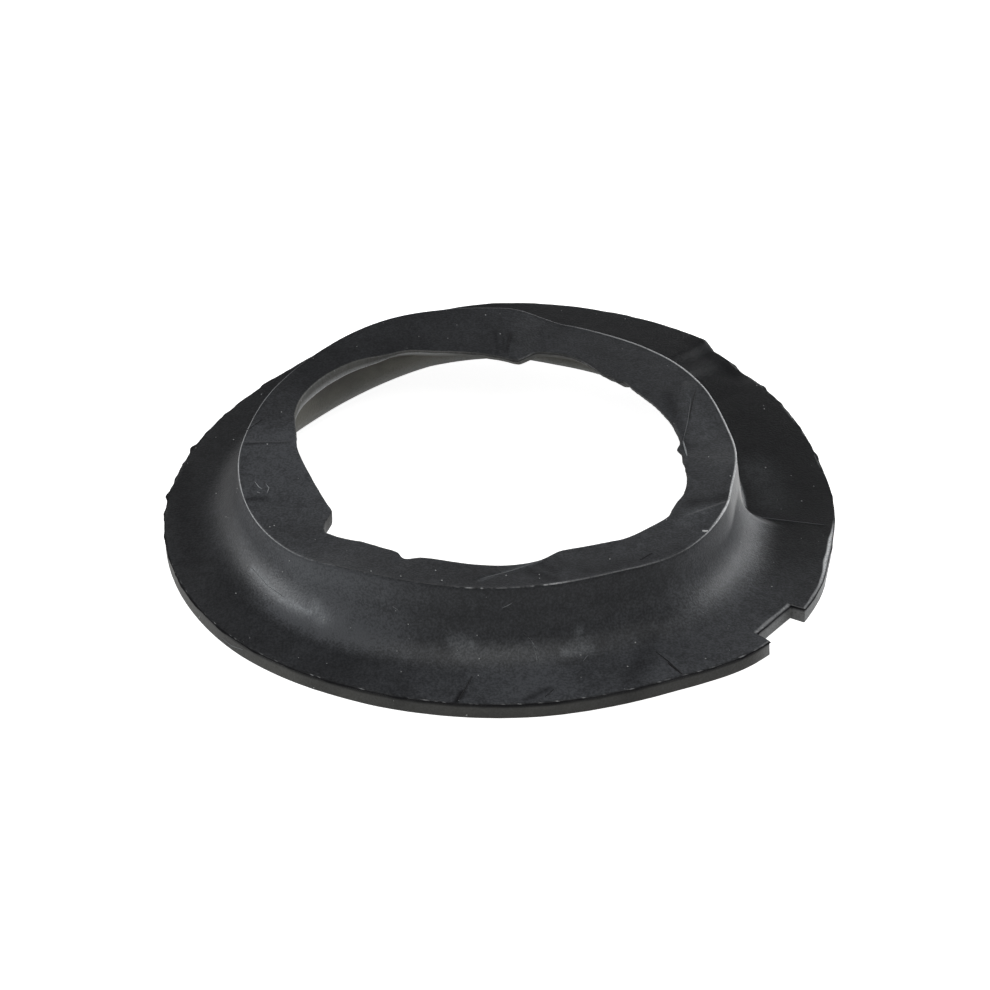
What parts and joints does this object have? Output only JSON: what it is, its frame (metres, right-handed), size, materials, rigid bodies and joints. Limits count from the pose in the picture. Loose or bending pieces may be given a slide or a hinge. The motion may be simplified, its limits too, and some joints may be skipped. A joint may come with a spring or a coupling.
{
  "type": "upper spring mount",
  "caption": "Moulded rubber pad for the upper end of a coil spring: a ring flange with a raised back stretch and a stop, a hollow collar closed by a thin plate, and a torn centre hole.",
  "frame": {"origin": "on the axis of the outer rim, at the level of the bearing face under the flange", "axes": "+Z along the collar towards the spring side; -Y towards the viewer of the picture; the rim notch lies at an azimuth of about 323 degrees from +X"},
  "size_m": [0.1399, 0.1412, 0.0201],
  "materials": {
    "rubber": "matte moulded black rubber with a grey bloom"
  },
  "bodies": {
    "root": {"spring_mount": "rubber"}
  },
  "joints": []
}
